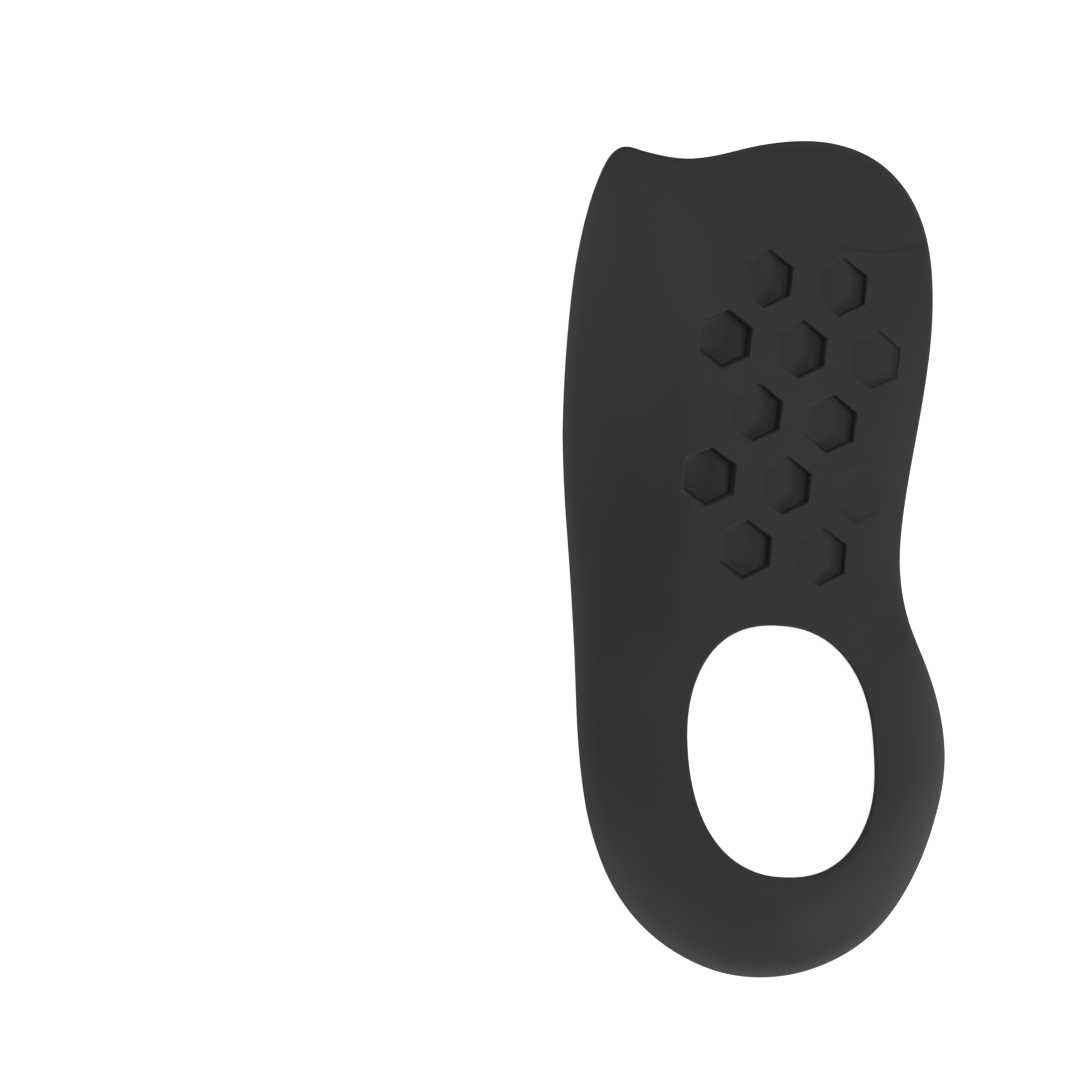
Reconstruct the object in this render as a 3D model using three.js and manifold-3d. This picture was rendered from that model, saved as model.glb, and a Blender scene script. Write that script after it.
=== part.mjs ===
// Half insole for a flat foot: one moulded piece of dark elastomer foam with a raised arch
// side, a shallow heel cup, an oval hole under the heel and hexagonal pockets moulded into
// its underside. It lies underside up on its own rim. Millimetres, +Z up.
//
// The shape is written in the mould frame: x towards the outer side of the foot, y towards
// the toes, and heights measured from the flat underside towards the foot (so z = -height
// while the underside looks up).
import * as THREE from "three";
import { mergeVertices } from "three/addons/utils/BufferGeometryUtils.js";
import Module from "manifold-3d";

// ---------------------------------------------------------------- driving dimensions
const COLOUR = 0x373738; // charcoal
const ROUGHNESS = 0.62;

const LIE_ROLL = 13.92; // degrees about y: the arch side lies higher than the outer side
const LIE_PITCH = -0.63; // degrees about x

const EDGE_ROUND = 0.8; // how far the rounded edge stands out past the two faces
const EDGE_DROP = 0.4; // how far the underside falls away at the rounded edge
const FLAT_BLEND = 5.0; // softness of the bend between the flat underside and its slopes
const HEEL_BLEND = 8.0; // the same at the heel, which is rounder
const HEEL_BLEND_FROM = -12.0; // the heel's softness comes in between these two places
const HEEL_BLEND_TO = -42.0;

const GRID_ACROSS = 24;
const GRID_ALONG = 44;

// The rim, once round: position, height of its foot side, thickness of the edge.
const RIM = [
  { at: "wing tip", x: -25.0, y: 80.4, top: 7.0, edge: 1.9 },
  { at: "tip inner", x: -22.0, y: 79.7, top: 6.0, edge: 1.9 },
  { at: "front notch", x: -17.7, y: 78.6, top: 4.9, edge: 1.8 },
  { at: "front dip", x: -12.7, y: 78.1, top: 4.0, edge: 1.7 },
  { at: "front rise", x: -6.4, y: 79.0, top: 3.3, edge: 1.6 },
  { at: "lobe inner", x: 0.5, y: 80.7, top: 2.8, edge: 1.6 },
  { at: "lobe top", x: 10.4, y: 81.9, top: 2.6, edge: 1.6 },
  { at: "lobe outer", x: 18.6, y: 81.0, top: 2.7, edge: 1.6 },
  { at: "lobe corner", x: 25.7, y: 78.0, top: 3.1, edge: 1.7 },
  { at: "front corner", x: 31.7, y: 72.4, top: 4.0, edge: 1.8 },
  { at: "fore edge", x: 35.9, y: 64.3, top: 5.5, edge: 2.0 },
  { at: "fore bulge", x: 37.6, y: 52.4, top: 6.3, edge: 2.1 },
  { at: "fore rear", x: 36.3, y: 36.4, top: 6.3, edge: 2.2 },
  { at: "waist front", x: 33.0, y: 18.5, top: 6.2, edge: 2.3 },
  { at: "waist", x: 30.7, y: 0.2, top: 6.2, edge: 2.3 },
  { at: "waist rear", x: 32.7, y: -12.4, top: 6.3, edge: 2.3 },
  { at: "heel flare", x: 36.9, y: -22.6, top: 6.5, edge: 2.3 },
  { at: "heel outer", x: 40.1, y: -36.8, top: 6.7, edge: 2.2 },
  { at: "heel outer back", x: 38.5, y: -50.2, top: 7.4, edge: 2.2 },
  { at: "heel outer turn", x: 33.1, y: -64.3, top: 8.9, edge: 2.2 },
  { at: "heel turn", x: 25.0, y: -74.6, top: 10.6, edge: 2.2 },
  { at: "heel back outer", x: 14.0, y: -80.4, top: 11.8, edge: 2.2 },
  { at: "heel back", x: 4.1, y: -81.8, top: 12.2, edge: 2.2 },
  { at: "heel back inner", x: -6.0, y: -80.1, top: 12.5, edge: 2.2 },
  { at: "heel inner turn", x: -17.6, y: -73.5, top: 13.0, edge: 2.2 },
  { at: "heel inner back", x: -26.0, y: -63.1, top: 13.4, edge: 2.2 },
  { at: "heel inner", x: -30.6, y: -49.8, top: 14.2, edge: 2.2 },
  { at: "arch rear", x: -32.2, y: -32.7, top: 16.0, edge: 2.1 },
  { at: "arch", x: -32.2, y: -9.7, top: 20.0, edge: 2.0 },
  { at: "wing rear", x: -32.7, y: 11.0, top: 23.6, edge: 1.9 },
  { at: "wing crest", x: -33.1, y: 24.8, top: 24.0, edge: 1.9 },
  { at: "wing front", x: -33.1, y: 39.5, top: 21.6, edge: 1.9 },
  { at: "wing fall", x: -32.6, y: 56.5, top: 16.4, edge: 1.9 },
  { at: "wing low", x: -30.7, y: 70.2, top: 11.2, edge: 1.9 },
  { at: "tip outer", x: -28.5, y: 77.2, top: 8.3, edge: 1.9 },
  { at: "tip shoulder", x: -27.0, y: 79.4, top: 7.5, edge: 1.9 },
];
// Corners of the rim that bound its heel, outer, front and inner sides.
const HEEL_INNER_CORNER = "heel inner turn";
const HEEL_OUTER_CORNER = "heel turn";
const FRONT_OUTER_CORNER = "lobe corner";
const FRONT_INNER_CORNER = "wing tip";

// Heights of the foot bed inside the rim.
const BED = [
  { at: "heel floor back", x: 5.1, y: -66.9, h: 3.2 },
  { at: "heel floor outer", x: 28.5, y: -46.7, h: 3.2 },
  { at: "heel floor inner", x: -20.6, y: -49.2, h: 4.4 },
  { at: "heel outer front", x: 24.9, y: -25.3, h: 2.9 },
  { at: "heel inner front", x: -17.2, y: -23.2, h: 6.6 },
  { at: "hole front", x: 6.6, y: -7.7, h: 3.4 },
  { at: "hole outer", x: 22.4, y: -36.9, h: 2.4 },
  { at: "hole inner", x: -12.0, y: -36.7, h: 3.3 },
  { at: "hole back", x: 5.7, y: -59.3, h: 2.3 },
  { at: "mid outer", x: 20.8, y: 4.0, h: 3.8 },
  { at: "mid axis", x: 4.6, y: 7.8, h: 6.4 },
  { at: "mid arch", x: -11.6, y: 11.6, h: 11.2 },
  { at: "fore axis", x: 2.6, y: 35.0, h: 7.0 },
  { at: "fore arch", x: -13.6, y: 36.8, h: 10.7 },
  { at: "fore outer", x: 23.9, y: 39.2, h: 4.0 },
  { at: "front arch", x: -13.6, y: 58.1, h: 6.8 },
  { at: "front axis", x: 4.6, y: 60.3, h: 4.7 },
  { at: "front outer", x: 22.9, y: 64.5, h: 3.8 },
  { at: "front flap", x: 6.6, y: 72.0, h: 2.9 },
];

// Heights that steer the underside inside the rim; it is flat where they fall well below 0.
const UNDERSIDE = [
  { at: "heel ring back", x: 5.1, y: -69.4, h: -3.2 },
  { at: "heel ring outer", x: 30.6, y: -44.8, h: -3.2 },
  { at: "heel ring inner", x: -21.2, y: -47.2, h: 0.2 },
  { at: "heel flare foot", x: 27.5, y: -21.4, h: -3.4 },
  { at: "hole back", x: 5.7, y: -62.1, h: -7.0 },
  { at: "hole outer", x: 23.9, y: -37.0, h: -7.0 },
  { at: "hole inner", x: -13.6, y: -36.7, h: -2.4 },
  { at: "arch foot rear", x: -18.0, y: -15.4, h: 0.8 },
  { at: "arch foot", x: -13.6, y: 2.9, h: -1.2 },
  { at: "wing foot", x: -12.4, y: 21.3, h: -1.2 },
  { at: "wing foot front", x: -14.8, y: 38.7, h: -1.0 },
  { at: "fall foot", x: -18.0, y: 56.1, h: -1.0 },
  { at: "pad axis", x: 4.6, y: 27.3, h: -11.0 },
  { at: "pad outer", x: 22.5, y: 25.5, h: -4.0 },
  { at: "pad rear", x: 6.6, y: -5.8, h: -9.0 },
  { at: "fore outer", x: 27.0, y: 50.9, h: -3.6 },
  { at: "front axis", x: 6.6, y: 62.3, h: -5.0 },
  { at: "front inner", x: -8.5, y: 66.9, h: -1.6 },
  { at: "front outer", x: 22.9, y: 67.5, h: -3.0 },
];

// Oval hole under the heel.
const HOLE = { x: 5.4, y: -37.2, halfWidth: 19.0, halfLength: 24.4, squareness: 2.34, slant: -0.083, lean: -2.4 };
const HOLE_POINTS = 56;

// Hexagonal pockets in rows from the toes to the heel: the middle of each row, its lean in
// degrees, and for each pocket, from the inner to the outer side, its depth at its inner and
// at its outer side. A floor that starts above the surface runs out into it.
const POCKET_PITCH = 15.2;
const POCKET_RADIUS = 5.75; // centre to corner, at the mouth
const POCKET_DRAFT = 2; // degrees
const POCKET_LEAN = 0.1; // the pockets lean towards the toes by this much of their depth
const POCKET_ROWS = [
  { x: 9.7, y: 54.0, lean: -5.6, depths: [[0.15, 2.6], [0.2, 2.1]] },
  { x: 9.0, y: 41.1, lean: -7.0, depths: [[1.6, 3.4], [0.2, 2.9], [0.4, 1.4]] },
  { x: 7.5, y: 27.7, lean: -8.0, depths: [[0.15, 2.9], [0.8, 2.4]] },
  { x: 5.8, y: 14.6, lean: -6.0, depths: [[2.2, 3.6], [0.2, 2.6], [0.35, 0.75]] },
  { x: 5.4, y: 1.4, lean: -5.2, depths: [[1.3, 2.5], [0.15, 1.8]] },
];

// ---------------------------------------------------------------- small mathematics
const rad = THREE.MathUtils.degToRad;

function solveLinear(matrix, right) {
  const n = right.length;
  const a = matrix.map((row, i) => [...row, right[i]]);
  for (let c = 0; c < n; c++) {
    let p = c;
    for (let r = c + 1; r < n; r++) if (Math.abs(a[r][c]) > Math.abs(a[p][c])) p = r;
    [a[c], a[p]] = [a[p], a[c]];
    for (let r = c + 1; r < n; r++) {
      const f = a[r][c] / a[c][c];
      for (let k = c; k <= n; k++) a[r][k] -= f * a[c][k];
    }
  }
  const out = new Array(n).fill(0);
  for (let r = n - 1; r >= 0; r--) {
    let s = a[r][n];
    for (let k = r + 1; k < n; k++) s -= a[r][k] * out[k];
    out[r] = s / a[r][r];
  }
  return out;
}

// A thin plate bent through points { x, y, h }: returns its height anywhere.
function bentPlate(points) {
  const bend = (dx, dy) => {
    const d2 = dx * dx + dy * dy;
    return d2 > 0 ? 0.5 * d2 * Math.log(d2) : 0;
  };
  const n = points.length;
  const rows = points.map((p) => [...points.map((q) => bend(p.x - q.x, p.y - q.y)), 1, p.x, p.y]);
  rows.push([...points.map(() => 1), 0, 0, 0]);
  rows.push([...points.map((p) => p.x), 0, 0, 0]);
  rows.push([...points.map((p) => p.y), 0, 0, 0]);
  const w = solveLinear(rows, [...points.map((p) => p.h), 0, 0, 0]);
  return (x, y) => {
    let h = w[n] + w[n + 1] * x + w[n + 2] * y;
    for (let i = 0; i < n; i++) h += w[i] * bend(x - points[i].x, y - points[i].y);
    return h;
  };
}

// A closed smooth curve through points { x, y }, with the parameter at each point.
function closedCurve(points) {
  const n = points.length;
  const step = points.map((p, i) => {
    const q = points[(i + 1) % n];
    return Math.sqrt(Math.hypot(q.x - p.x, q.y - p.y));
  });
  const knots = [0];
  for (const s of step) knots.push(knots[knots.length - 1] + s);
  const bendOf = (key) => {
    const m = points.map(() => new Array(n).fill(0));
    const b = points.map((p, i) => {
      const before = step[(i + n - 1) % n];
      const after = step[i];
      m[i][(i + n - 1) % n] += before;
      m[i][i] += 2 * (before + after);
      m[i][(i + 1) % n] += after;
      const prev = points[(i + n - 1) % n];
      const next = points[(i + 1) % n];
      return 6 * ((next[key] - p[key]) / after - (p[key] - prev[key]) / before);
    });
    return solveLinear(m, b);
  };
  const bends = { x: bendOf("x"), y: bendOf("y") };
  const total = knots[n];
  const at = (t) => {
    const s = ((t % total) + total) % total;
    let i = 0;
    while (i < n - 1 && knots[i + 1] <= s) i++;
    const j = (i + 1) % n;
    const h = step[i];
    const a = knots[i + 1] - s;
    const b = s - knots[i];
    const value = (key) =>
      (bends[key][i] * a ** 3 + bends[key][j] * b ** 3) / (6 * h) +
      (points[i][key] / h - (bends[key][i] * h) / 6) * a +
      (points[j][key] / h - (bends[key][j] * h) / 6) * b;
    return new THREE.Vector2(value("x"), value("y"));
  };
  return { at, knots, total };
}

// Evenly spaced parameters along a stretch of a closed curve, by length.
function evenly(curve, from, to, count) {
  const fine = 600;
  const params = [];
  const lengths = [0];
  let last = null;
  for (let i = 0; i <= fine; i++) {
    const t = from + ((to - from) * i) / fine;
    const p = curve.at(t);
    params.push(t);
    if (last) lengths.push(lengths[i - 1] + p.distanceTo(last));
    last = p;
  }
  const out = [];
  let k = 0;
  for (let i = 0; i <= count; i++) {
    const want = (lengths[fine] * i) / count;
    while (k < fine - 1 && lengths[k + 1] < want) k++;
    const f = (want - lengths[k]) / (lengths[k + 1] - lengths[k]);
    out.push(params[k] + (params[k + 1] - params[k]) * f);
  }
  return out;
}

// ---------------------------------------------------------------- the two faces
const bedHeight = bentPlate([
  ...RIM.map((r) => ({ x: r.x, y: r.y, h: r.top })),
  ...BED,
]);
const underPlate = bentPlate([
  ...RIM.map((r) => ({ x: r.x, y: r.y, h: r.top - r.edge })),
  ...UNDERSIDE,
]);
function underHeight(x, y) {
  const a = underPlate(x, y);
  const heel = THREE.MathUtils.smoothstep(HEEL_BLEND_FROM - y, 0, HEEL_BLEND_FROM - HEEL_BLEND_TO);
  const soft = FLAT_BLEND + (HEEL_BLEND - FLAT_BLEND) * heel;
  if (a <= -soft) return 0;
  if (a >= soft) return a;
  return (a + soft) ** 2 / (4 * soft);
}

// ---------------------------------------------------------------- the moulded body
const rimCurve = closedCurve(RIM);
const knotOf = (name) => rimCurve.knots[RIM.findIndex((r) => r.at === name)];

// The rim runs clockwise seen on the underside: front, outer side, heel, inner side.
const frontT = evenly(rimCurve, knotOf(FRONT_INNER_CORNER), knotOf(FRONT_OUTER_CORNER), GRID_ACROSS);
const outerT = evenly(rimCurve, knotOf(FRONT_OUTER_CORNER), knotOf(HEEL_OUTER_CORNER), GRID_ALONG);
const heelT = evenly(rimCurve, knotOf(HEEL_OUTER_CORNER), knotOf(HEEL_INNER_CORNER), GRID_ACROSS);
const innerT = evenly(rimCurve, knotOf(HEEL_INNER_CORNER), rimCurve.total + knotOf(FRONT_INNER_CORNER), GRID_ALONG);

// A point of the faces' border, drawn in from the rim by the rounding of the edge.
function border(t) {
  const d = 0.02;
  const ahead = rimCurve.at(t + d).sub(rimCurve.at(t - d)).normalize();
  return rimCurve.at(t).add(new THREE.Vector2(ahead.y, -ahead.x).multiplyScalar(EDGE_ROUND));
}

function bodyGeometry() {
  const front = frontT.map(border); // inner to outer
  const heel = heelT.map(border).reverse(); // inner to outer
  const outer = outerT.map(border).reverse(); // heel to toes
  const inner = innerT.map(border); // heel to toes
  const across = GRID_ACROSS;
  const along = GRID_ALONG;
  const vertices = [];
  const triangles = [];
  const under = [];
  const bed = [];
  for (let j = 0; j <= along; j++) {
    for (let i = 0; i <= across; i++) {
      const u = i / across;
      const v = j / along;
      const blend = (key) =>
        (1 - v) * heel[i][key] + v * front[i][key] + (1 - u) * inner[j][key] + u * outer[j][key] -
        (1 - u) * (1 - v) * heel[0][key] - u * (1 - v) * heel[across][key] -
        (1 - u) * v * front[0][key] - u * v * front[across][key];
      const x = blend("x");
      const y = blend("y");
      const atEdge = i === 0 || j === 0 || i === across || j === along;
      under.push(vertices.push([x, y, -underHeight(x, y) - (atEdge ? EDGE_DROP : 0)]) - 1);
      bed.push(vertices.push([x, y, -bedHeight(x, y)]) - 1);
    }
  }
  const at = (i, j) => j * (across + 1) + i;
  for (let j = 0; j < along; j++) {
    for (let i = 0; i < across; i++) {
      const a = at(i, j);
      const b = at(i + 1, j);
      const c = at(i + 1, j + 1);
      const d = at(i, j + 1);
      triangles.push([under[a], under[b], under[c]], [under[a], under[c], under[d]]);
      triangles.push([bed[a], bed[c], bed[b]], [bed[a], bed[d], bed[c]]);
    }
  }
  // The rounded edge: a ring on the rim itself between the two faces.
  const ring = [];
  for (let i = 0; i < across; i++) ring.push({ t: frontT[i], g: at(i, along) });
  for (let j = 0; j < along; j++) ring.push({ t: outerT[j], g: at(across, along - j) });
  for (let i = 0; i < across; i++) ring.push({ t: heelT[i], g: at(across - i, 0) });
  for (let j = 0; j < along; j++) ring.push({ t: innerT[j], g: at(0, j) });
  for (const r of ring) {
    const p = rimCurve.at(r.t);
    const h = (vertices[under[r.g]][2] + vertices[bed[r.g]][2]) / 2;
    r.mid = vertices.push([p.x, p.y, h]) - 1;
  }
  ring.forEach((r, k) => {
    const n = ring[(k + 1) % ring.length];
    triangles.push([under[r.g], under[n.g], n.mid], [under[r.g], n.mid, r.mid]);
    triangles.push([r.mid, n.mid, bed[n.g]], [r.mid, bed[n.g], bed[r.g]]);
  });
  const geometry = new THREE.BufferGeometry();
  geometry.setAttribute("position", new THREE.Float32BufferAttribute(vertices.flat(), 3));
  geometry.setIndex(triangles.flat());
  return geometry;
}

// ---------------------------------------------------------------- hole and pockets
function holeGeometry() {
  const shape = new THREE.Shape();
  const c = Math.cos(rad(HOLE.lean));
  const s = Math.sin(rad(HOLE.lean));
  for (let i = 0; i < HOLE_POINTS; i++) {
    const a = ((i + 0.5) / HOLE_POINTS) * Math.PI * 2;
    const px = HOLE.halfWidth * Math.sign(Math.cos(a)) * Math.abs(Math.cos(a)) ** (2 / HOLE.squareness);
    const py = HOLE.halfLength * Math.sign(Math.sin(a)) * Math.abs(Math.sin(a)) ** (2 / HOLE.squareness);
    const x = HOLE.x + (px + HOLE.slant * py) * c - py * s;
    const y = HOLE.y + (px + HOLE.slant * py) * s + py * c;
    if (i === 0) shape.moveTo(x, y);
    else shape.lineTo(x, y);
  }
  shape.closePath();
  const g = new THREE.ExtrudeGeometry(shape, { depth: 40, bevelEnabled: false });
  g.translate(0, 0, -30);
  return g;
}

function pocketGeometry(x0, y0, lean, innerDepth, outerDepth) {
  const over = 2;
  const depth = (innerDepth + outerDepth) / 2;
  const taper = Math.tan(rad(POCKET_DRAFT));
  const g = new THREE.CylinderGeometry(
    POCKET_RADIUS + over * taper,
    POCKET_RADIUS - depth * taper,
    depth + over,
    6,
    1,
  );
  g.rotateX(Math.PI / 2);
  // The floor slopes from the inner to the outer side, and the walls lean with it.
  const slope = (outerDepth - innerDepth) / (2 * POCKET_RADIUS * Math.cos(Math.PI / 6));
  const p = g.attributes.position;
  for (let i = 0; i < p.count; i++) {
    if (p.getZ(i) > 0) {
      p.setZ(i, over);
      continue;
    }
    const here = depth + slope * p.getX(i);
    p.setY(i, p.getY(i) + POCKET_LEAN * Math.max(here, 0));
    p.setZ(i, -here);
  }
  g.rotateZ(lean);
  g.translate(x0, y0, 0);
  return g;
}

const wasm = await Module();
wasm.setup();

function toSolid(geometry) {
  const g = geometry.clone();
  g.deleteAttribute("normal");
  g.deleteAttribute("uv");
  const merged = mergeVertices(g, 1e-4);
  return new wasm.Manifold(
    new wasm.Mesh({
      numProp: 3,
      vertProperties: new Float32Array(merged.attributes.position.array),
      triVerts: new Uint32Array(merged.index.array),
    }),
  );
}

function toGeometry(solid) {
  const m = solid.getMesh();
  const g = new THREE.BufferGeometry();
  g.setAttribute("position", new THREE.BufferAttribute(new Float32Array(m.vertProperties), 3));
  g.setIndex(new THREE.BufferAttribute(new Uint32Array(m.triVerts), 1));
  g.computeVertexNormals();
  return g;
}

let body = toSolid(bodyGeometry()).subtract(toSolid(holeGeometry()));
for (const row of POCKET_ROWS) {
  const lean = rad(row.lean);
  row.depths.forEach(([innerDepth, outerDepth], k) => {
    const along = (k - (row.depths.length - 1) / 2) * POCKET_PITCH;
    const x = row.x + along * Math.cos(lean);
    const y = row.y + along * Math.sin(lean);
    body = body.subtract(toSolid(pocketGeometry(x, y, lean, innerDepth, outerDepth)));
  });
}

const insole = new THREE.Mesh(
  toGeometry(body),
  new THREE.MeshStandardMaterial({ color: COLOUR, roughness: ROUGHNESS, metalness: 0 }),
);
insole.name = "insole_body";
insole.rotation.set(rad(LIE_PITCH), rad(LIE_ROLL), 0);
insole.updateMatrixWorld(true);

// The lowest points of the rim touch z = 0, under the middle of the outline.
const box = new THREE.Box3().setFromObject(insole, true);
const middle = box.getCenter(new THREE.Vector3());
insole.position.set(-middle.x, -middle.y, -box.min.z);

const part = new THREE.Group();
part.add(insole);
export default part;
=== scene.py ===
"""A moulded half insole for a flat foot, lying underside up on its own rim.

The body is built in its mould frame, in millimetres (x to the outer side of the foot, y to
the toes, heights h from the flat underside towards the foot), then laid down on its rim.
"""

import math

import bmesh
import bpy
import numpy as np
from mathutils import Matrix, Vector
from mathutils.geometry import delaunay_2d_cdt


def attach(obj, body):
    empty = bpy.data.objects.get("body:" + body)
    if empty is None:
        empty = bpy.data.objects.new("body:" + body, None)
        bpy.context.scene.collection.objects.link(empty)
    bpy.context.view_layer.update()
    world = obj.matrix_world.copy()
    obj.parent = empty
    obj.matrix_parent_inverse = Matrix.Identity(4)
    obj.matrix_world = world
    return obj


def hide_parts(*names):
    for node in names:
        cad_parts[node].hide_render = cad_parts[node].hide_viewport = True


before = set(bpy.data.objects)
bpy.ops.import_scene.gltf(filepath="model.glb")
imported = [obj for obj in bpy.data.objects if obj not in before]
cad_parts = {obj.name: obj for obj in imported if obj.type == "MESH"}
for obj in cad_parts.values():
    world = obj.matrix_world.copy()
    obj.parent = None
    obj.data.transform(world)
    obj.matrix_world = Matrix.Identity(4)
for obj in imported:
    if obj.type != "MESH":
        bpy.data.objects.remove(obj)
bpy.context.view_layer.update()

# ------------------------------------------------------------------ dimensions (mm)
LIE_ROLL = 13.92
LIE_PITCH = -0.63
LIE_AT = (-0.0327, 0.0321, 15.4246)
EDGE_ROUND = 0.8
EDGE_WIDE = (2.2, 3.6)  # rounding of the underside at the rim: fore part, heel
FLAT_BLEND = 5.0
HEEL_BLEND = 8.0

# rim once round: x, y, height of the foot side, edge thickness
RIM = [
    ("wing tip", -25.0, 80.4, 7.0, 1.9),
    ("tip inner", -22.0, 79.7, 6.0, 1.9),
    ("front notch", -17.7, 78.6, 4.9, 1.8),
    ("front dip", -12.7, 78.1, 4.0, 1.7),
    ("front rise", -6.4, 79.0, 3.3, 1.6),
    ("lobe inner", 0.5, 80.7, 2.8, 1.6),
    ("lobe top", 10.4, 81.9, 2.6, 1.6),
    ("lobe outer", 18.6, 81.0, 2.7, 1.6),
    ("lobe corner", 25.7, 78.0, 3.1, 1.7),
    ("front corner", 31.7, 72.4, 4.0, 1.8),
    ("fore edge", 35.9, 64.3, 5.5, 2.0),
    ("fore bulge", 37.6, 52.4, 6.3, 2.1),
    ("fore rear", 36.3, 36.4, 6.3, 2.2),
    ("waist front", 33.0, 18.5, 6.2, 2.3),
    ("waist", 30.7, 0.2, 6.2, 2.3),
    ("waist rear", 32.7, -12.4, 6.3, 2.3),
    ("heel flare", 36.9, -22.6, 6.5, 2.3),
    ("heel outer", 40.1, -36.8, 6.7, 2.2),
    ("heel outer back", 38.5, -50.2, 7.4, 2.2),
    ("heel outer turn", 33.1, -64.3, 8.9, 2.2),
    ("heel turn", 25.0, -74.6, 10.6, 2.2),
    ("heel back outer", 14.0, -80.4, 11.8, 2.2),
    ("heel back", 4.1, -81.8, 12.2, 2.2),
    ("heel back inner", -6.0, -80.1, 12.5, 2.2),
    ("heel inner turn", -17.6, -73.5, 13.0, 2.2),
    ("heel inner back", -26.0, -63.1, 13.4, 2.2),
    ("heel inner", -30.6, -49.8, 14.2, 2.2),
    ("arch rear", -32.2, -32.7, 16.0, 2.1),
    ("arch", -32.2, -9.7, 20.0, 2.0),
    ("wing rear", -32.7, 11.0, 23.6, 1.9),
    ("wing crest", -33.1, 24.8, 24.0, 1.9),
    ("wing front", -33.1, 39.5, 21.6, 1.9),
    ("wing fall", -32.6, 56.5, 16.4, 1.9),
    ("wing low", -30.7, 70.2, 11.2, 1.9),
    ("tip outer", -28.5, 77.2, 8.3, 1.9),
    ("tip shoulder", -27.0, 79.4, 7.5, 1.9),
]
# heights of the foot bed inside the rim
BED = [
    ("heel floor back", 5.1, -66.9, 3.2),
    ("heel floor outer", 28.5, -46.7, 3.2),
    ("heel floor inner", -20.6, -49.2, 4.4),
    ("heel outer front", 24.9, -25.3, 2.9),
    ("heel inner front", -17.2, -23.2, 6.6),
    ("hole front", 6.6, -7.7, 3.4),
    ("hole outer", 22.4, -36.9, 2.4),
    ("hole inner", -12.0, -36.7, 3.3),
    ("hole back", 5.7, -59.3, 2.3),
    ("mid outer", 20.8, 4.0, 3.8),
    ("mid axis", 4.6, 7.8, 6.4),
    ("mid arch", -11.6, 11.6, 11.2),
    ("fore axis", 2.6, 35.0, 7.0),
    ("fore arch", -13.6, 36.8, 10.7),
    ("fore outer", 23.9, 39.2, 4.0),
    ("front arch", -13.6, 58.1, 6.8),
    ("front axis", 4.6, 60.3, 4.7),
    ("front outer", 22.9, 64.5, 3.8),
    ("front flap", 6.6, 72.0, 2.9),
]
# heights that steer the underside; flat where they fall well below 0
UNDERSIDE = [
    ("heel ring back", 5.1, -69.4, -3.2),
    ("heel ring outer", 30.6, -44.8, -3.2),
    ("heel ring inner", -21.2, -47.2, 0.2),
    ("heel flare foot", 27.5, -21.4, -3.4),
    ("hole back", 5.7, -62.1, -7.0),
    ("hole outer", 23.9, -37.0, -7.0),
    ("hole inner", -13.6, -36.7, -2.4),
    ("arch foot rear", -18.0, -15.4, 0.8),
    ("arch foot", -13.6, 2.9, -1.2),
    ("wing foot", -12.4, 21.3, -1.2),
    ("wing foot front", -14.8, 38.7, -1.0),
    ("fall foot", -18.0, 56.1, -1.0),
    ("pad axis", 4.6, 27.3, -11.0),
    ("pad outer", 22.5, 25.5, -4.0),
    ("pad rear", 6.6, -5.8, -9.0),
    ("fore outer", 27.0, 50.9, -3.6),
    ("front axis", 6.6, 62.3, -5.0),
    ("front inner", -8.5, 66.9, -1.6),
    ("front outer", 22.9, 67.5, -3.0),
]
HOLE = dict(x=5.4, y=-37.2, half_width=19.0, half_length=24.4, squareness=2.34, slant=-0.083, lean=-2.4)
HOLE_ROUND = 0.5
# painted highlight on the rim: how much paler it is painted (painted shade where below 0), and how far in that
# reaches (mm)
RIM_HIGHLIGHT = {
    "wing tip": (0.0, 3.0),
    "front dip": (0.0, 3.0),
    "lobe top": (0.0, 3.0),
    "front corner": (0.14, 3.0),
    "fore bulge": (0.18, 3.0),
    "waist": (0.10, 3.0),
    "waist rear": (0.18, 3.0),
    "heel flare": (0.62, 3.9),
    "heel outer": (0.92, 4.4),
    "heel outer back": (0.94, 4.3),
    "heel outer turn": (0.94, 3.6),
    "heel turn": (0.86, 3.0),
    "heel back": (0.70, 2.4),
    "heel back inner": (0.55, 2.5),
    "heel inner turn": (0.30, 3.0),
    "heel inner back": (0.12, 3.0),
    "heel inner": (-0.10, 4.0),
    "arch rear": (0.06, 3.5),
    "arch": (0.24, 4.2),
    "wing rear": (0.20, 4.2),
    "wing fall": (0.17, 4.0),
    "tip outer": (0.04, 3.0),
}

POCKET_PITCH = 15.2
POCKET_RADIUS = 5.75
POCKET_DRAFT = 2.0
POCKET_CORNER = 0.45
POCKET_LEAN = (0.0, 0.10)  # the pockets lean this much over their depth
# rounding of the mouth and of the floor's edge, one for each side of the hexagon:
# upper left, left, lower left, lower right, right, upper right (toes up)
POCKET_LIPS = (0.55, 1.10, 0.80, 0.15, 0.18, 0.18)
POCKET_FILLETS = (0.90, 1.00, 0.90, 0.40, 1.10, 0.50)
POCKET_PAINTED_SHADE = (0.3, 0.2, 0.7, 1.0, 1.0, 0.9)  # painted shade: how dark each wall is painted
# the faint dent: how far its soft edge reaches out and in, side by side as above
DENT_OUT = (0.9, 0.9, 0.5, 0.3, 0.6, 0.9)
DENT_IN = (2.2, 2.4, 1.0, 0.6, 1.8, 2.2)
# rows of pockets from the toes to the heel: middle of the row, lean, and for each pocket its
# depth at the inner and at the outer side
POCKET_ROWS = [
    (9.7, 54.0, -5.6, ((-0.3, 2.6), (-0.25, 2.1))),
    (9.0, 41.1, -7.0, ((1.6, 3.4), (-0.25, 2.9), (0.2, 1.4))),
    (7.5, 27.7, -8.0, ((-0.3, 2.9), (0.6, 2.4))),
    (5.8, 14.6, -6.0, ((2.2, 3.6), (-0.25, 2.6), (0.35, 0.75))),
    (5.4, 1.4, -5.2, ((1.3, 2.5), (-0.25, 1.8))),
]
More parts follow.
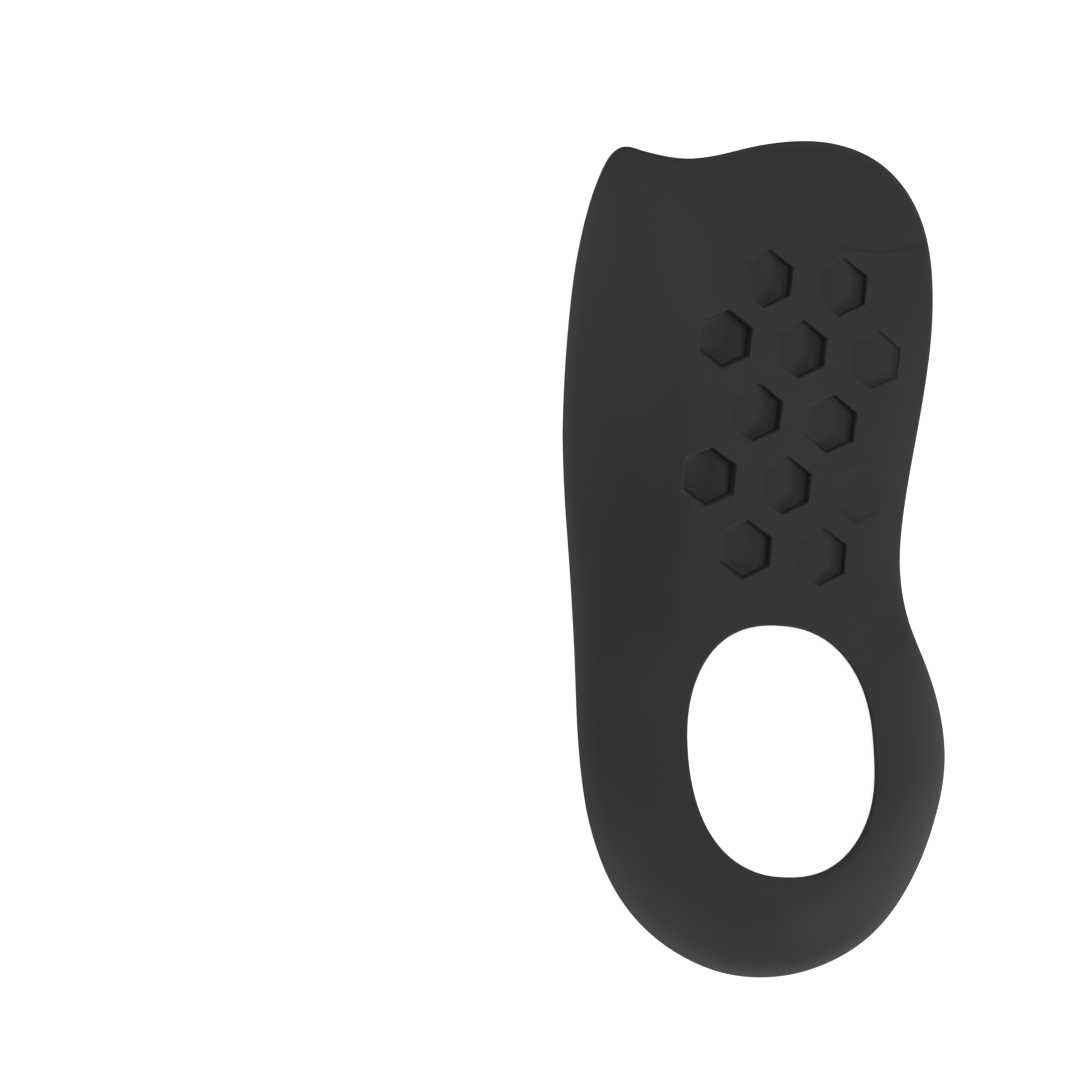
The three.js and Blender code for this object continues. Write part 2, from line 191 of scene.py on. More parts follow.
# the low step where the pad ends in front: centre line points and its height
STEP_LINE = [(10.0, 62.6), (13.5, 61.9), (18.0, 60.9), (22.0, 60.4), (25.3, 60.3), (29.0, 60.7), (32.1, 61.5), (35.0, 62.6)]
STEP_HEIGHT = 0.36


# ------------------------------------------------------------------ small mathematics
def bent_plate(points):
    """Height of a thin plate bent through points (x, y, h)."""
    pts = np.asarray(points, float)
    n = len(pts)

    def bend(a, b):
        d2 = ((a[:, None, :] - b[None, :, :]) ** 2).sum(-1)
        return np.where(d2 > 0, 0.5 * d2 * np.log(np.maximum(d2, 1e-30)), 0.0)

    q = np.c_[np.ones(n), pts[:, :2]]
    m = np.zeros((n + 3, n + 3))
    m[:n, :n] = bend(pts[:, :2], pts[:, :2])
    m[:n, n:] = q
    m[n:, :n] = q.T
    w = np.linalg.solve(m, np.r_[pts[:, 2], 0, 0, 0])

    def height(xy):
        xy = np.asarray(xy, float).reshape(-1, 2)
        return bend(xy, pts[:, :2]) @ w[:n] + w[n] + xy @ w[n + 1 :]

    return height


def closed_curve(points):
    """Smooth closed curve through points (x, y): a function of its parameter, and the total."""
    p = np.asarray(points, float)
    n = len(p)
    d = np.sqrt(np.linalg.norm(np.roll(p, -1, 0) - p, axis=1))
    knots = np.r_[0, np.cumsum(d)]
    m = np.zeros((n, n))
    b = np.zeros((n, 2))
    for i in range(n):
        m[i, i - 1] += d[i - 1]
        m[i, i] += 2 * (d[i - 1] + d[i])
        m[i, (i + 1) % n] += d[i]
        b[i] = 6 * ((p[(i + 1) % n] - p[i]) / d[i] - (p[i] - p[i - 1]) / d[i - 1])
    bends = np.linalg.solve(m, b)

    def at(t):
        t = np.asarray(t, float) % knots[-1]
        i = np.clip(np.searchsorted(knots, t, side="right") - 1, 0, n - 1)
        j = (i + 1) % n
        h = d[i][:, None]
        u = (knots[i + 1] - t)[:, None]
        v = (t - knots[i])[:, None]
        return (
            (bends[i] * u**3 + bends[j] * v**3) / (6 * h)
            + (p[i] / h - bends[i] * h / 6) * u
            + (p[j] / h - bends[j] * h / 6) * v
        )

    return at, knots[-1]


def evenly(pts, count):
    """Resamples a closed polyline to count points evenly spaced by length."""
    loop = np.r_[pts, pts[:1]]
    s = np.r_[0, np.cumsum(np.linalg.norm(np.diff(loop, axis=0), axis=1))]
    want = np.arange(count) / count * s[-1]
    return np.c_[np.interp(want, s, loop[:, 0]), np.interp(want, s, loop[:, 1])]


def loop_normals(pts):
    """Unit normals of a closed loop, to the left of its direction."""
    t = np.roll(pts, -1, 0) - np.roll(pts, 1, 0)
    t /= np.linalg.norm(t, axis=1)[:, None]
    return np.c_[-t[:, 1], t[:, 0]]


def inside(xy, loop):
    """Which points lie inside a closed loop."""
    res = np.zeros(len(xy), bool)
    x, y = xy[:, 0], xy[:, 1]
    a = loop
    b = np.roll(loop, -1, 0)
    for (x0, y0), (x1, y1) in zip(a, b):
        if y0 == y1:
            continue
        hit = ((y0 > y) != (y1 > y)) & (x < (x1 - x0) * (y - y0) / (y1 - y0) + x0)
        res ^= hit
    return res


def far_from(xy, pts, gap):
    """Which points are at least gap away from all of pts."""
    keep = np.ones(len(xy), bool)
    for k in range(0, len(xy), 2000):
        d2 = ((xy[k : k + 2000, None] - pts[None]) ** 2).sum(-1).min(1)
        keep[k : k + 2000] = d2 > gap * gap
    return keep


def smooth(t):
    t = np.clip(t, 0, 1)
    return t * t * (3 - 2 * t)


# ------------------------------------------------------------------ the two faces
bed_h = bent_plate([(x, y, top) for _, x, y, top, _ in RIM] + [(x, y, h) for _, x, y, h in BED])
under_plate = bent_plate(
    [(x, y, top - edge) for _, x, y, top, edge in RIM] + [(x, y, h) for _, x, y, h in UNDERSIDE]
)


def step_h(xy):
    """The pad stands a little proud of the front flap along a shallow curved step."""
    line = np.asarray(STEP_LINE)
    yc = np.interp(xy[:, 0], line[:, 0], line[:, 1])
    # round the polyline off
    for dx in (1.0, 2.0):
        yc = 0.5 * yc + 0.25 * (
            np.interp(xy[:, 0] - dx, line[:, 0], line[:, 1]) + np.interp(xy[:, 0] + dx, line[:, 0], line[:, 1])
        )
    s = xy[:, 1] - yc
    along = smooth((xy[:, 0] - 9) / 16) * smooth((36.5 - xy[:, 0]) / 6)
    return STEP_HEIGHT * along * smooth((s + 0.45) / 0.9) * np.exp(-np.maximum(s, 0) / 7.0)


def under_h(xy):
    xy = np.asarray(xy, float).reshape(-1, 2)
    a = under_plate(xy)
    k = FLAT_BLEND + (HEEL_BLEND - FLAT_BLEND) * smooth((-12.0 - xy[:, 1]) / 30.0)
    h = np.where(a <= -k, 0.0, np.where(a >= k, a, (a + k) ** 2 / (4 * k)))
    return h + step_h(xy)


# ------------------------------------------------------------------ mesh of the body
verts = []  # mould frame, mm
faces = []
highlight_paint = []  # per vertex: painted highlight, 1 on the rounded rim and lips, 0 elsewhere
shade_paint = []  # per vertex: painted shade, 1 on the walls of the pockets, 0 elsewhere


# each new point gets a painted highlight value and a painted shade value (deep)
def add(xy, h, highlight=0.0, deep=0.0):
    start = sum(len(v) for v in verts)
    verts.append(np.c_[xy, -np.asarray(h)])
    highlight_paint.append(np.broadcast_to(highlight, len(xy)))
    shade_paint.append(np.broadcast_to(deep, len(xy)))
    return np.arange(start, start + len(xy))


def strip(a, b):
    """Quads between two closed rings of equal length."""
    n = len(a)
    for i in range(n):
        j = (i + 1) % n
        faces.append((int(a[i]), int(a[j]), int(b[j]), int(b[i])))


def hex_grid(lo, hi, gap):
    rows = int((hi[1] - lo[1]) / (gap * 0.866)) + 1
    cols = int((hi[0] - lo[0]) / gap) + 2
    out = []
    for r in range(rows):
        x = lo[0] + (np.arange(cols) + (0.5 if r % 2 else 0.0)) * gap
        out.append(np.c_[x, np.full(cols, lo[1] + r * gap * 0.866)])
    return np.concatenate(out)


def fill(rings, ring_ids, extra, height, hole_loops, outer_loop):
    """Triangulates between rings, through extra points, and adds the faces."""
    pts = [np.concatenate(rings)]
    ids = [np.concatenate(ring_ids)]
    edges = []
    k = 0
    for r in rings:
        n = len(r)
        edges += [(k + i, k + (i + 1) % n) for i in range(n)]
        k += n
    if len(extra):
        pts.append(extra)
        ids.append(add(extra, height(extra)))
    pts = np.concatenate(pts)
    ids = np.concatenate(ids)
    out = delaunay_2d_cdt([Vector(p) for p in pts], edges, [], 0, 1e-7)
    where = np.array([o[0] for o in out[3]])
    xy = np.array([tuple(v) for v in out[0]])
    tri = np.array([f for f in out[2]])
    mid = xy[tri].mean(1)
    ok = inside(mid, outer_loop)
    for loop in hole_loops:
        ok &= ~inside(mid, loop)
    for t in tri[ok]:
        faces.append(tuple(int(ids[where[v]]) for v in t))


rim_at, rim_total = closed_curve([(x, y) for _, x, y, _, _ in RIM])
rim = evenly(rim_at(np.linspace(0, rim_total, 6000, endpoint=False)), 720)
inward = -loop_normals(rim)  # the rim runs clockwise
# the edge is rounded widely on the underside, most at the heel, and little on the foot side
tip = np.linalg.norm(rim - np.array(RIM[0][1:3]), axis=1)
wide = EDGE_WIDE[0] + (EDGE_WIDE[1] - EDGE_WIDE[0]) * smooth((20.0 - rim[:, 1]) / 40.0)
wide = EDGE_ROUND + (wide - EDGE_ROUND) * smooth((tip - 3.0) / 14.0)
border = rim + inward * wide[:, None]
border_f = rim + inward * EDGE_ROUND
hb, ht = under_h(border), bed_h(border_f)
slope_u = (hb - under_h(border + inward * 0.4)) / 0.4
slope_f = (ht - bed_h(border_f + inward * 0.4)) / 0.4
high = hb + slope_u * wide  # where the underside would meet the outline
deep = ht + slope_f * EDGE_ROUND  # where the foot side would
belly = high + 0.6 * (deep - high)  # the outermost line


def arc(t, p0, p1, p2, p3):
    return (1 - t) ** 3 * p0 + 3 * t * (1 - t) ** 2 * p1 + 3 * t * t * (1 - t) * p2 + t**3 * p3


edge_rings = []
# the rounded rim is painted lighter towards its edge: a painted highlight
for t in np.linspace(0, 1, 13):
    o = arc(t, -wide, -0.42 * wide, 0 * wide, 0 * wide)
    h = arc(t, hb, hb + 0.58 * wide * slope_u, belly - 0.55 * (belly - high), belly)
    edge_rings.append(add(rim - inward * o[:, None], h, smooth(t) * 0.9))
for t in np.linspace(0, 1, 7)[1:]:
    o = EDGE_ROUND * arc(t, 0.0, 0.0, -0.45, -1.0)
    h = arc(t, belly, belly + 0.55 * (deep - belly), ht + 0.55 * EDGE_ROUND * slope_f, ht)
    edge_rings.append(add(rim - inward * o, h, 0.9 * (1 - t)))
for a, b in zip(edge_rings, edge_rings[1:]):
    strip(a, b)

# hole: rounded lips and a straight wall
ang = np.linspace(0, 2 * np.pi, 4000, endpoint=False)
ca, sa = np.cos(ang), np.sin(ang)
px = HOLE["half_width"] * np.sign(ca) * np.abs(ca) ** (2 / HOLE["squareness"])
py = HOLE["half_length"] * np.sign(sa) * np.abs(sa) ** (2 / HOLE["squareness"])
px = px + HOLE["slant"] * py
cl, sl = math.cos(math.radians(HOLE["lean"])), math.sin(math.radians(HOLE["lean"]))
hole = evenly(np.c_[HOLE["x"] + px * cl - py * sl, HOLE["y"] + px * sl + py * cl], 260)
outward = -loop_normals(hole)  # counter-clockwise loop: into the material
hole_lip = hole + outward * HOLE_ROUND
hb, ht = under_h(hole_lip), bed_h(hole_lip)
hole_rings = []
# the hole's lips carry a painted highlight, and its shaded wall is painted lighter
for a in np.radians((0, 22.5, 45, 67.5, 90)):
    hole_rings.append(
        add(hole + outward * HOLE_ROUND * (1 - math.sin(a)), hb + HOLE_ROUND * (1 - math.cos(a)), np.maximum(0.5 * math.sin(2 * a), 0.45 * math.sin(a)))
    )
hole_rings.append(add(hole, 0.5 * (hb + ht), 0.45))
for a in np.radians((90, 67.5, 45, 22.5, 0)):
    hole_rings.append(
        add(hole + outward * HOLE_ROUND * (1 - math.sin(a)), ht - HOLE_ROUND * (1 - math.cos(a)), np.maximum(0.5 * math.sin(2 * a), 0.45 * math.sin(a)))
    )
for a, b in zip(hole_rings, hole_rings[1:]):
    strip(a, b)


# pockets
ARC, SIDE = 5, 8  # points on each rounded corner and each side


def hexagon(grow, corner):
    """Rounded hexagon with a corner towards the toes; grow moves each of its six sides out."""
    grow = np.broadcast_to(np.asarray(grow, float), 6)
    reach = POCKET_RADIUS * math.cos(math.pi / 6) + grow
    turns = np.radians(120 + 60 * np.arange(6))
    n = np.c_[np.cos(turns), np.sin(turns)]
    centres = []
    for k in range(6):  # where the sides k-1 and k meet, moved in by the rounding
        centres.append(np.linalg.solve(np.array([n[k - 1], n[k]]), np.array([reach[k - 1], reach[k]]) - corner))
    out = []
    for k in range(6):
        for f in np.linspace(0, 1, ARC):
            b = turns[k] - math.pi / 3 * (1 - f)
            out.append(centres[k] + corner * np.array([math.cos(b), math.sin(b)]))
        for f in np.linspace(0, 1, SIDE + 2)[1:-1]:
            out.append((1 - f) * centres[k] + f * centres[(k + 1) % 6] + corner * n[k])
    return np.array(out)


def around(six):
    """Values of the six sides for each point of a hexagon loop."""
    out = []
    for k in range(6):
        out += [six[k - 1] + (six[k] - six[k - 1]) * f for f in np.linspace(0, 1, ARC)]
        out += [six[k]] * SIDE
    return np.array(out)


pocket_rings, pocket_ids = [], []
for row_x, row_y, row_lean, depths in POCKET_ROWS:
    lean = math.radians(row_lean)
    turn = np.array([[math.cos(lean), math.sin(lean)], [-math.sin(lean), math.cos(lean)]])
    for k, (inner, outer) in enumerate(depths):
        along = (k - (len(depths) - 1) / 2) * POCKET_PITCH
        centre = np.array([row_x + along * math.cos(lean), row_y + along * math.sin(lean)])
        tilt = (outer - inner) / (2 * POCKET_RADIUS * math.cos(math.pi / 6))

        def floor_of(xy, centre=centre, tilt=tilt, mean=(inner + outer) / 2, ahead=turn[0]):
            flat = mean + tilt * ((xy - centre) @ ahead)
            base = under_h(xy)
            return base + 0.5 * (flat - base + np.sqrt((flat - base) ** 2 + 0.09))

        rings = []
        if outer < 0.8:  # only a faint dent
            for f in np.linspace(0, 1, 11):
                xy = centre + hexagon((1 - f) * np.array(DENT_OUT) - f * np.array(DENT_IN), 1.2) @ turn
                base = under_h(xy)
                rings.append((xy, base + np.maximum(floor_of(xy) - base, 0) * smooth(f), 0.0, 0.0))
            slant, lip, last, edge_shade = np.zeros(2), np.zeros(len(xy)), xy, 0.0
        else:
            tan = math.tan(math.radians(POCKET_DRAFT))
            mouth = hexagon(0.0, POCKET_CORNER)
            deep_at = np.maximum(floor_of(centre + mouth @ turn) - under_h(centre + mouth @ turn), 0.04)
            middles = np.array([k6 * (ARC + SIDE) + ARC + SIDE // 2 for k6 in range(6)])
            deep6 = deep_at[middles]
            brink = smooth((under_h(centre + mouth @ turn) - 0.7) / 0.8)  # where it runs out at the slope
            lips = np.minimum(POCKET_LIPS, 0.45 * deep6) * (1 - 0.5 * brink[middles])
            fils = np.minimum(POCKET_FILLETS, 0.75 * (deep6 - lips))
            lip = np.minimum(around(lips), 0.45 * deep_at)
            fil = np.minimum(around(fils), 0.75 * (deep_at - lip))
            # painted shade on the walls, darkest on the sides turned away from the light
            shade = smooth((deep_at - 0.5) / 1.2) * np.maximum(around(POCKET_PAINTED_SHADE), 0.5 * brink)
            slant = np.asarray(POCKET_LEAN) @ turn
            for a in np.radians((0, 18, 36, 54, 72, 90)):
                xy = centre + hexagon(lips * (1 - math.sin(a)), POCKET_CORNER) @ turn
                # painted highlight along the lip, strongest where the pocket runs out at the slope
                lip_glint = math.sin(2 * a) * np.maximum(0.17 * shade, 1.0 * brink)
                rings.append((xy, under_h(xy) + lip * (1 - math.cos(a)), lip_glint, 0.0))
            walls = np.maximum(deep6 - lips - fils, 0.02)
            for f in (0.33, 0.67, 1.0):
                xy = centre + hexagon(-walls * f * tan, POCKET_CORNER) @ turn
                base = under_h(xy) + lip
                low = np.maximum(floor_of(xy) - fil, base + 0.005)
                h = base + (low - base) * f
                rings.append((xy + slant * (h - base)[:, None], h, 0.0, shade))
            for a in np.radians((12, 24, 36, 48, 60, 75, 90)):
                xy = centre + hexagon(-walls * tan - fils * (1 - math.cos(a)), POCKET_CORNER) @ turn
                base = under_h(xy) + lip
                h = np.maximum(floor_of(xy) - fil * (1 - math.sin(a)), base + 0.005)
                rings.append((xy + slant * (h - base)[:, None], h, 0.0, np.maximum(shade * (1 - 0.82 * (a / math.radians(90)) ** 3), 0.35 * brink)))
            # this carries the walls' painted shade onto the edge of the floor
            last, edge_shade = xy, np.maximum(0.18 * shade, 0.35 * brink)
        ids = [add(xy, h, m, d) for xy, h, m, d in rings]
        for f in (0.88, 0.76, 0.64, 0.52, 0.40, 0.28, 0.16, 0.0):
            xy = centre + (last - centre) * f
            h = floor_of(xy)
            drop = np.maximum(h - under_h(xy) - (lip * f + lip.mean() * (1 - f)), 0.005)
            xy = xy + slant * drop[:, None]
            # painted shade on the floors' inner half and near the walls, and painted light on their outer half
            s = (xy - centre) @ turn[0]
            floor_light = 0.42 * smooth((s - 0.5) / 3.0) * smooth((outer - 1.2) / 1.0)
            floor_shade = 0.22 * smooth((1.5 - s) / 3.5) * smooth((s + 5.6) / 2.0) * (outer >= 0.8)
            floor_shade = np.maximum(floor_shade, edge_shade * smooth((f - 0.4) / 0.6))
            ids.append(add(xy, h, floor_light, floor_shade) if f > 0 else add(xy[:1], h[:1], floor_light[:1], floor_shade[:1]))
        hub = ids.pop()[0]
        for a, b in zip(ids, ids[1:]):
            strip(a, b)
        n = len(ids[-1])
        for i in range(n):
            faces.append((int(ids[-1][i]), int(ids[-1][(i + 1) % n]), int(hub)))
        pocket_rings.append(rings[0][0])
        pocket_ids.append(ids[0])

# underside
lo, hi = rim.min(0), rim.max(0)
grid = hex_grid(lo, hi, 1.05)
keep = inside(grid, border) & ~inside(grid, hole_lip)
for r in pocket_rings:
    keep &= ~inside(grid, r)
grid = grid[keep]
line = np.asarray(STEP_LINE)
xs = np.arange(10.0, 34.5, 0.7)
yc = np.interp(xs, line[:, 0], line[:, 1])
for dx in (1.0, 2.0):
    yc = 0.5 * yc + 0.25 * (
        np.interp(xs - dx, line[:, 0], line[:, 1]) + np.interp(xs + dx, line[:, 0], line[:, 1])
    )
crease = np.concatenate([np.c_[xs, yc + s] for s in (-0.55, -0.3, -0.1, 0.1, 0.3, 0.55)])
keep = inside(crease, border)
for r in pocket_rings:
    keep &= ~inside(crease, r)
crease = crease[keep]
rings_all = np.concatenate([border, hole_lip] + pocket_rings)
crease = crease[far_from(crease, rings_all, 0.3)]
grid = grid[far_from(grid, np.concatenate([rings_all, crease]), 0.5)]
fill(
    [border, hole_lip] + pocket_rings,
    [edge_rings[0], hole_rings[0]] + pocket_ids,
    np.concatenate([grid, crease]),
    under_h,
    [hole_lip] + pocket_rings,
    border,
)
# foot side
grid = hex_grid(lo, hi, 1.25)
grid = grid[inside(grid, border_f) & ~inside(grid, hole_lip)]
grid = grid[far_from(grid, np.concatenate([border_f, hole_lip]), 0.5)]
fill([border_f, hole_lip], [edge_rings[-1], hole_rings[-1]], grid, bed_h, [hole_lip], border_f)

# lay it down
co = np.concatenate(verts)
a, b = math.radians(LIE_PITCH), math.radians(LIE_ROLL)
rx = np.array([[1, 0, 0], [0, math.cos(a), -math.sin(a)], [0, math.sin(a), math.cos(a)]])
ry = np.array([[math.cos(b), 0, math.sin(b)], [0, 1, 0], [-math.sin(b), 0, math.cos(b)]])
laid = (co @ (rx @ ry).T + np.array(LIE_AT)) * 0.001

mesh = bpy.data.meshes.new("insole")
mesh.from_pydata(laid.tolist(), [], faces)
bm = bmesh.new()
bm.from_mesh(mesh)
bmesh.ops.recalc_face_normals(bm, faces=bm.faces[:])
loose = sum(1 for e in bm.edges if len(e.link_faces) != 2)
print("insole: verts", len(bm.verts), "faces", len(bm.faces), "open edges", loose, "volume cm3", round(bm.calc_volume() * 1e6, 2))
bm.to_mesh(mesh)
bm.free()
for p in mesh.polygons:
    p.use_smooth = True
# the lip attribute holds the painted highlight
lip = mesh.attributes.new("lip", "FLOAT", "POINT")
lip.data.foreach_set("value", np.concatenate(highlight_paint).astype(np.float32))
recess_shade = mesh.attributes.new("recess_shade", "FLOAT", "POINT")
recess_shade.data.foreach_set("value", np.concatenate(shade_paint).astype(np.float32))
# a painted highlight: a faint pale patch on the front of the wing, in place of a soft reflection
wing_highlight = mesh.attributes.new("wing_highlight", "FLOAT", "POINT")
away = ((co[:, 0] + 22.0) / 11.0) ** 2 + ((co[:, 1] - 62.0) / 13.0) ** 2
wing_highlight.data.foreach_set("value", np.exp(-away).astype(np.float32))
# painted highlight on the rim, strongest round the outer side and the back of the heel
spots = [(int(np.argmin(((rim - (x, y)) ** 2).sum(1))), *RIM_HIGHLIGHT[name]) for name, x, y, _, _ in RIM if name in RIM_HIGHLIGHT]
spots = np.array(sorted(spots))
strong = np.interp(np.arange(len(rim)), spots[:, 0], spots[:, 1], period=len(rim))
reach = np.interp(np.arange(len(rim)), spots[:, 0], spots[:, 2], period=len(rim))
rim_glow = np.zeros(len(co))
for k in range(0, len(co), 2000):
    d2 = ((co[k : k + 2000, None, :2] - rim[None]) ** 2).sum(-1)
    near = d2.argmin(1)
    rim_glow[k : k + 2000] = strong[near] * np.exp(-((np.sqrt(d2.min(1)) / reach[near]) ** 1.6))
rim_highlight = mesh.attributes.new("rim_highlight", "FLOAT", "POINT")
rim_highlight.data.foreach_set("value", rim_glow.astype(np.float32))
insole = bpy.data.objects.new("insole", mesh)
bpy.context.scene.collection.objects.link(insole)


# ------------------------------------------------------------------ material
def node(tree, kind, at=(0, 0), **values):
    n = tree.nodes.new(kind)
    n.location = at
    for k, v in values.items():
        if k in n.inputs:
            n.inputs[k].default_value = v
        else:
            setattr(n, k, v)
    return n


foam = bpy.data.materials.new("foam")
foam.use_nodes = True
nt = foam.node_tree
nt.nodes.clear()
out = node(nt, "ShaderNodeOutputMaterial", (900, 0))
bsdf = node(nt, "ShaderNodeBsdfPrincipled", (600, 0))
bsdf.inputs["Specular IOR Level"].default_value = 0.28
bsdf.inputs["Sheen Weight"].default_value = 0.06
bsdf.inputs["Sheen Roughness"].default_value = 0.45
nt.links.new(bsdf.outputs[0], out.inputs[0])
tc = node(nt, "ShaderNodeTexCoord", (-1000, 0))
# slow cloudiness of the colour, from the mould's uneven release
cloud = node(nt, "ShaderNodeTexNoise", (-700, 200), Scale=38.0, Detail=4.0, Roughness=0.55)
nt.links.new(tc.outputs["Object"], cloud.inputs["Vector"])
tone = node(nt, "ShaderNodeValToRGB", (-450, 200))
tone.color_ramp.elements[0].position = 0.3
tone.color_ramp.elements[0].color = (0.0310, 0.0310, 0.0325, 1)
tone.color_ramp.elements[1].position = 0.72
tone.color_ramp.elements[1].color = (0.0368, 0.0360, 0.0373, 1)
nt.links.new(cloud.outputs["Fac"], tone.inputs["Fac"])
# the tint drifts from a cool grey at the wing to a warmer one at the outer heel
drift = node(nt, "ShaderNodeVectorMath", (-700, 620), operation="DOT_PRODUCT")
drift.inputs[1].default_value = (1.2, -1.0, 0.0)
nt.links.new(tc.outputs["Object"], drift.inputs[0])
stir = node(nt, "ShaderNodeTexNoise", (-900, 820), Scale=22.0, Detail=2.0, Roughness=0.5)
nt.links.new(tc.outputs["Object"], stir.inputs["Vector"])
sway = node(nt, "ShaderNodeMath", (-700, 820), operation="MULTIPLY_ADD")
sway.inputs[1].default_value = 0.08
sway.inputs[2].default_value = -0.04
nt.links.new(stir.outputs["Fac"], sway.inputs[0])
both = node(nt, "ShaderNodeMath", (-500, 720), operation="ADD")
nt.links.new(drift.outputs["Value"], both.inputs[0])
nt.links.new(sway.outputs[0], both.inputs[1])
warm = node(nt, "ShaderNodeMapRange", (-330, 720))
warm.inputs["From Min"].default_value = -0.035
warm.inputs["From Max"].default_value = 0.035
nt.links.new(both.outputs[0], warm.inputs["Value"])
tint = node(nt, "ShaderNodeMix", (-150, 720), data_type="RGBA")
tint.inputs[6].default_value = (0.995, 1.0, 1.02, 1)
tint.inputs[7].default_value = (1.035, 0.972, 1.025, 1)
nt.links.new(warm.outputs[0], tint.inputs[0])
shade_of = node(nt, "ShaderNodeMix", (-50, 600), data_type="RGBA", blend_type="MULTIPLY")
shade_of.inputs[0].default_value = 1.0
nt.links.new(tone.outputs["Color"], shade_of.inputs[6])
nt.links.new(tint.outputs[2], shade_of.inputs[7])
# the painted highlight on the wing
at3 = node(nt, "ShaderNodeAttribute", (-250, 980), attribute_name="wing_highlight")
wing_highlight_gain = node(nt, "ShaderNodeMath", (-80, 980), operation="MULTIPLY")
wing_highlight_gain.inputs[1].default_value = 0.34
nt.links.new(at3.outputs["Fac"], wing_highlight_gain.inputs[0])
mix3 = node(nt, "ShaderNodeMix", (100, 800), data_type="RGBA")
mix3.inputs[7].default_value = (0.0560, 0.0570, 0.0610, 1)
nt.links.new(wing_highlight_gain.outputs[0], mix3.inputs[0])
nt.links.new(shade_of.outputs[2], mix3.inputs[6])
# painted highlight: the rim, the lips, the hole's wall and parts of the pocket floors are painted lighter where
# light would catch them
at = node(nt, "ShaderNodeAttribute", (-450, 420), attribute_name="lip")
highlight_gain = node(nt, "ShaderNodeMath", (-250, 420), operation="MULTIPLY")
highlight_gain.inputs[1].default_value = 1.0
nt.links.new(at.outputs["Fac"], highlight_gain.inputs[0])
mix = node(nt, "ShaderNodeMix", (0, 250), data_type="RGBA")
mix.inputs[7].default_value = (0.060, 0.059, 0.060, 1)
nt.links.new(highlight_gain.outputs[0], mix.inputs[0])
nt.links.new(mix3.outputs[2], mix.inputs[6])
# painted highlight on the rim: the colour is up to doubled there
at4 = node(nt, "ShaderNodeAttribute", (0, 980), attribute_name="rim_highlight")
mix4 = node(nt, "ShaderNodeMix", (200, 650), data_type="RGBA", blend_type="MULTIPLY")
mix4.inputs[7].default_value = (2.0, 2.0, 2.0, 1)
nt.links.new(at4.outputs["Fac"], mix4.inputs[0])
nt.links.new(mix.outputs[2], mix4.inputs[6])
# painted shade: the pockets' walls, and their floors near the walls, are painted darker
at2 = node(nt, "ShaderNodeAttribute", (0, 480), attribute_name="recess_shade")
keep = node(nt, "ShaderNodeMath", (200, 480), operation="MULTIPLY")
keep.inputs[1].default_value = 0.9
nt.links.new(at2.outputs["Fac"], keep.inputs[0])
mix2 = node(nt, "ShaderNodeMix", (350, 300), data_type="RGBA")
mix2.inputs[7].default_value = (0.0090, 0.0090, 0.0095, 1)
nt.links.new(keep.outputs[0], mix2.inputs[0])
nt.links.new(mix4.outputs[2], mix2.inputs[6])
nt.links.new(mix2.outputs[2], bsdf.inputs["Base Color"])
# satin finish that varies a little
rough = node(nt, "ShaderNodeMapRange", (0, 0))
rough.inputs["To Min"].default_value = 0.55
rough.inputs["To Max"].default_value = 0.65
nt.links.new(cloud.outputs["Fac"], rough.inputs["Value"])
nt.links.new(rough.outputs[0], bsdf.inputs["Roughness"])
# fine moulded grain and faint unevenness
grain = node(nt, "ShaderNodeTexNoise", (-700, -250), Scale=2600.0, Detail=3.0, Roughness=0.6)
nt.links.new(tc.outputs["Object"], grain.inputs["Vector"])
bump = node(nt, "ShaderNodeBump", (0, -250), Strength=0.5, Distance=0.00008)
nt.links.new(grain.outputs["Fac"], bump.inputs["Height"])
wave = node(nt, "ShaderNodeTexNoise", (-700, -500), Scale=70.0, Detail=2.0, Roughness=0.5)
nt.links.new(tc.outputs["Object"], wave.inputs["Vector"])
bump2 = node(nt, "ShaderNodeBump", (250, -300), Strength=0.5, Distance=0.00012)
nt.links.new(wave.outputs["Fac"], bump2.inputs["Height"])
nt.links.new(bump.outputs[0], bump2.inputs["Normal"])
nt.links.new(bump2.outputs[0], bsdf.inputs["Normal"])
mesh.materials.append(foam)

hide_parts("insole_body")
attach(insole, "root")

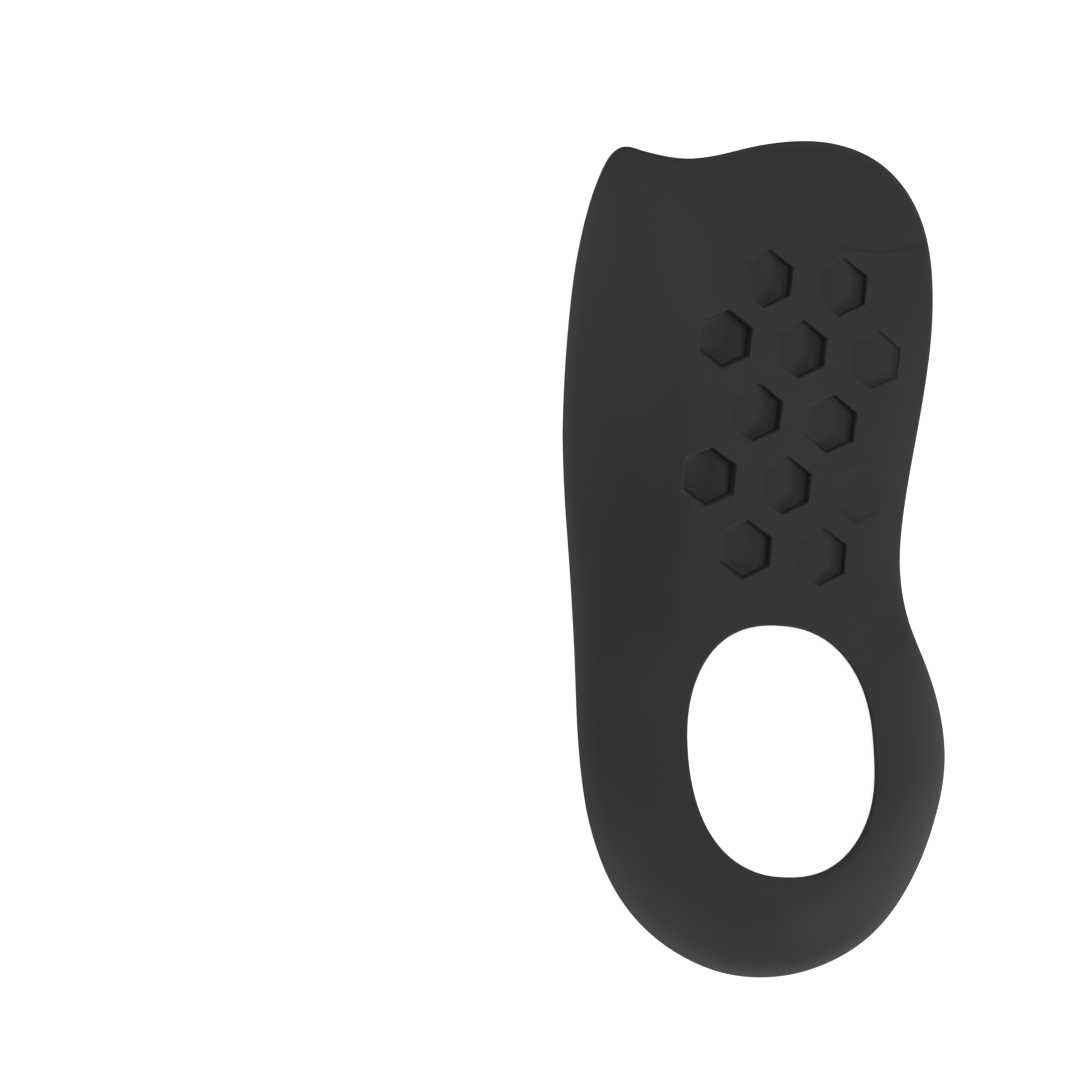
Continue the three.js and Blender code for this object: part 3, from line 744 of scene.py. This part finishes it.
# ------------------------------------------------------------------ floor, light, camera
low = float(laid[:, 2].min())
fm = bpy.data.meshes.new("floor")
s = 12.0
fm.from_pydata([(-s, -s, low), (s, -s, low), (s, s, low), (-s, s, low)], [], [(0, 1, 2, 3)])
floor = bpy.data.objects.new("floor", fm)
bpy.context.scene.collection.objects.link(floor)
fmat = bpy.data.materials.new("floor")
fmat.use_nodes = True
fb = fmat.node_tree.nodes["Principled BSDF"]
fb.inputs["Base Color"].default_value = (0.92, 0.92, 0.92, 1)
fb.inputs["Roughness"].default_value = 0.9
fb.inputs["Specular IOR Level"].default_value = 0.1
fb.inputs["Emission Color"].default_value = (1, 1, 1, 1)
fb.inputs["Emission Strength"].default_value = 0.72
fm.materials.append(fmat)
floor.visible_diffuse = floor.visible_glossy = False  # its white glow doesn't wash out the dark foam

world = bpy.data.worlds.new("studio")
bpy.context.scene.world = world
world.use_nodes = True
bg = world.node_tree.nodes["Background"]
bg.inputs["Color"].default_value = (1, 1, 1, 1)
bg.inputs["Strength"].default_value = 0.12


def around_at(azimuth, elevation, distance=1.3):
    a, e = math.radians(azimuth), math.radians(elevation)
    return (distance * math.cos(e) * math.cos(a), distance * math.cos(e) * math.sin(a), distance * math.sin(e))


def area(name, loc, size, power, target=(0, 0, 0.01)):
    d = bpy.data.lights.new(name, "AREA")
    d.shape = "RECTANGLE"
    d.size, d.size_y = size
    d.energy = power
    o = bpy.data.objects.new(name, d)
    o.location = loc
    o.rotation_mode = "QUATERNION"
    o.rotation_quaternion = (Vector(target) - Vector(loc)).to_track_quat("-Z", "Y")
    o.visible_camera = False
    bpy.context.scene.collection.objects.link(o)
    return o


cloth = area("top cloth", (0.0, 0.0, 1.60), (0.7, 0.7), 11.6)
cloth.visible_glossy = False  # matte cloth overhead: no hot spots
area("high front", around_at(60, 66), (0.8, 0.45), 2.75)
area("low right", around_at(-30, 10), (0.8, 0.45), 6.0)
area("low left", around_at(-120, 10), (0.8, 0.45), 2.9)
area("left", around_at(-150, 10), (0.8, 0.45), 2.7)

cam_data = bpy.data.cameras.new("camera")
cam = bpy.data.objects.new("camera", cam_data)
bpy.context.scene.collection.objects.link(cam)
bpy.context.scene.camera = cam
CAMERA_HEIGHT = 1.0
FRAME_WIDTH = 0.2129  # at the floor
cam.location = (-0.0422, 0.00397, CAMERA_HEIGHT)
cam.rotation_euler = (0, 0, 0)
cam_data.sensor_width = 36.0
cam_data.lens = 36.0 * CAMERA_HEIGHT / FRAME_WIDTH
cam_data.clip_start = 0.05
cam_data.clip_end = 20

view = bpy.context.scene.view_settings
view.view_transform = "Standard"
view.look = "None"
